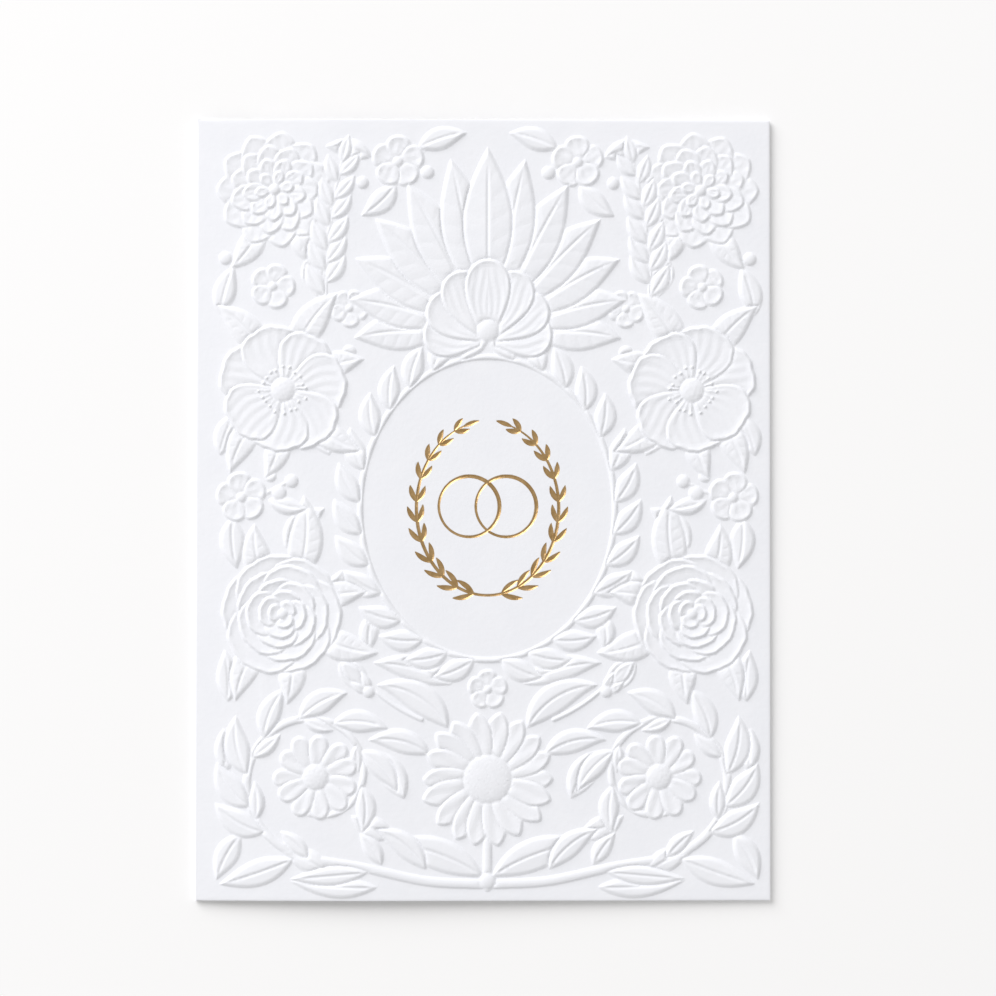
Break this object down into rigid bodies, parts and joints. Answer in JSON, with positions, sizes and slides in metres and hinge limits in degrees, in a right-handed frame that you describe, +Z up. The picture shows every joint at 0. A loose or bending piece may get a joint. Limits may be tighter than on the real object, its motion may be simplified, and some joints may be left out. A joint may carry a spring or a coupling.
{
  "type": "folded greeting card",
  "caption": "Closed greeting card: one stiff white sheet creased once at the left, with an embossed floral front panel and a plain oval window.",
  "frame": {"origin": "centre of the card's bounding box, on the face of the back panel that it rests on", "axes": "+X from the fold to the free edges, +Y from the foot of the card to its head, +Z up through the front panel"},
  "size_m": [0.117, 0.1588, 0.0024],
  "materials": {
    "white_card": "matte",
    "gold_foil": "satin"
  },
  "bodies": {
    "root": {"folded_card": "white_card"}
  },
  "joints": []
}
